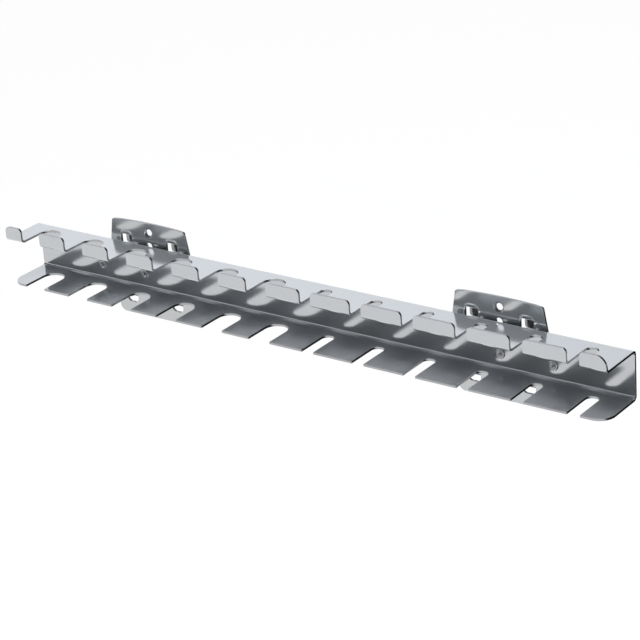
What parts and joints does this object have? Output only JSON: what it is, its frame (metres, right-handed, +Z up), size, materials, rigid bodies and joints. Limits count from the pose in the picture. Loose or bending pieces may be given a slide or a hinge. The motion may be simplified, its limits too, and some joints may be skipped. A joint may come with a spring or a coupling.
{
  "type": "screwdriver rack",
  "caption": "Folded sheet-metal rail with wide and narrow open slots in two shelves and upright stop lips, riveted to two hook plates for a square-hole panel or wall screws.",
  "frame": {"origin": "centre of the four wall screw holes on the plane of the hook plates' backs, which rest on the panel", "axes": "+X along the rail towards the narrow slots, +Y into the panel or wall, +Z up"},
  "size_m": [0.45, 0.0433, 0.0664],
  "materials": {
    "rail": "bright zinc-plated sheet, semi-mirror",
    "hook_plates": "bright zinc-plated sheet, semi-mirror",
    "rivets": "plain aluminium, satin",
    "mandrels": "broken steel end, dull"
  },
  "bodies": {
    "root": {"rail": "rail", "hook_plate_left": "hook_plates", "hook_plate_right": "hook_plates", "rivet_left_outer": "rivets", "rivet_left_inner": "rivets", "rivet_right_inner": "rivets", "rivet_right_outer": "rivets", "mandrel_left_outer": "mandrels", "mandrel_left_inner": "mandrels", "mandrel_right_inner": "mandrels", "mandrel_right_outer": "mandrels"}
  },
  "joints": []
}
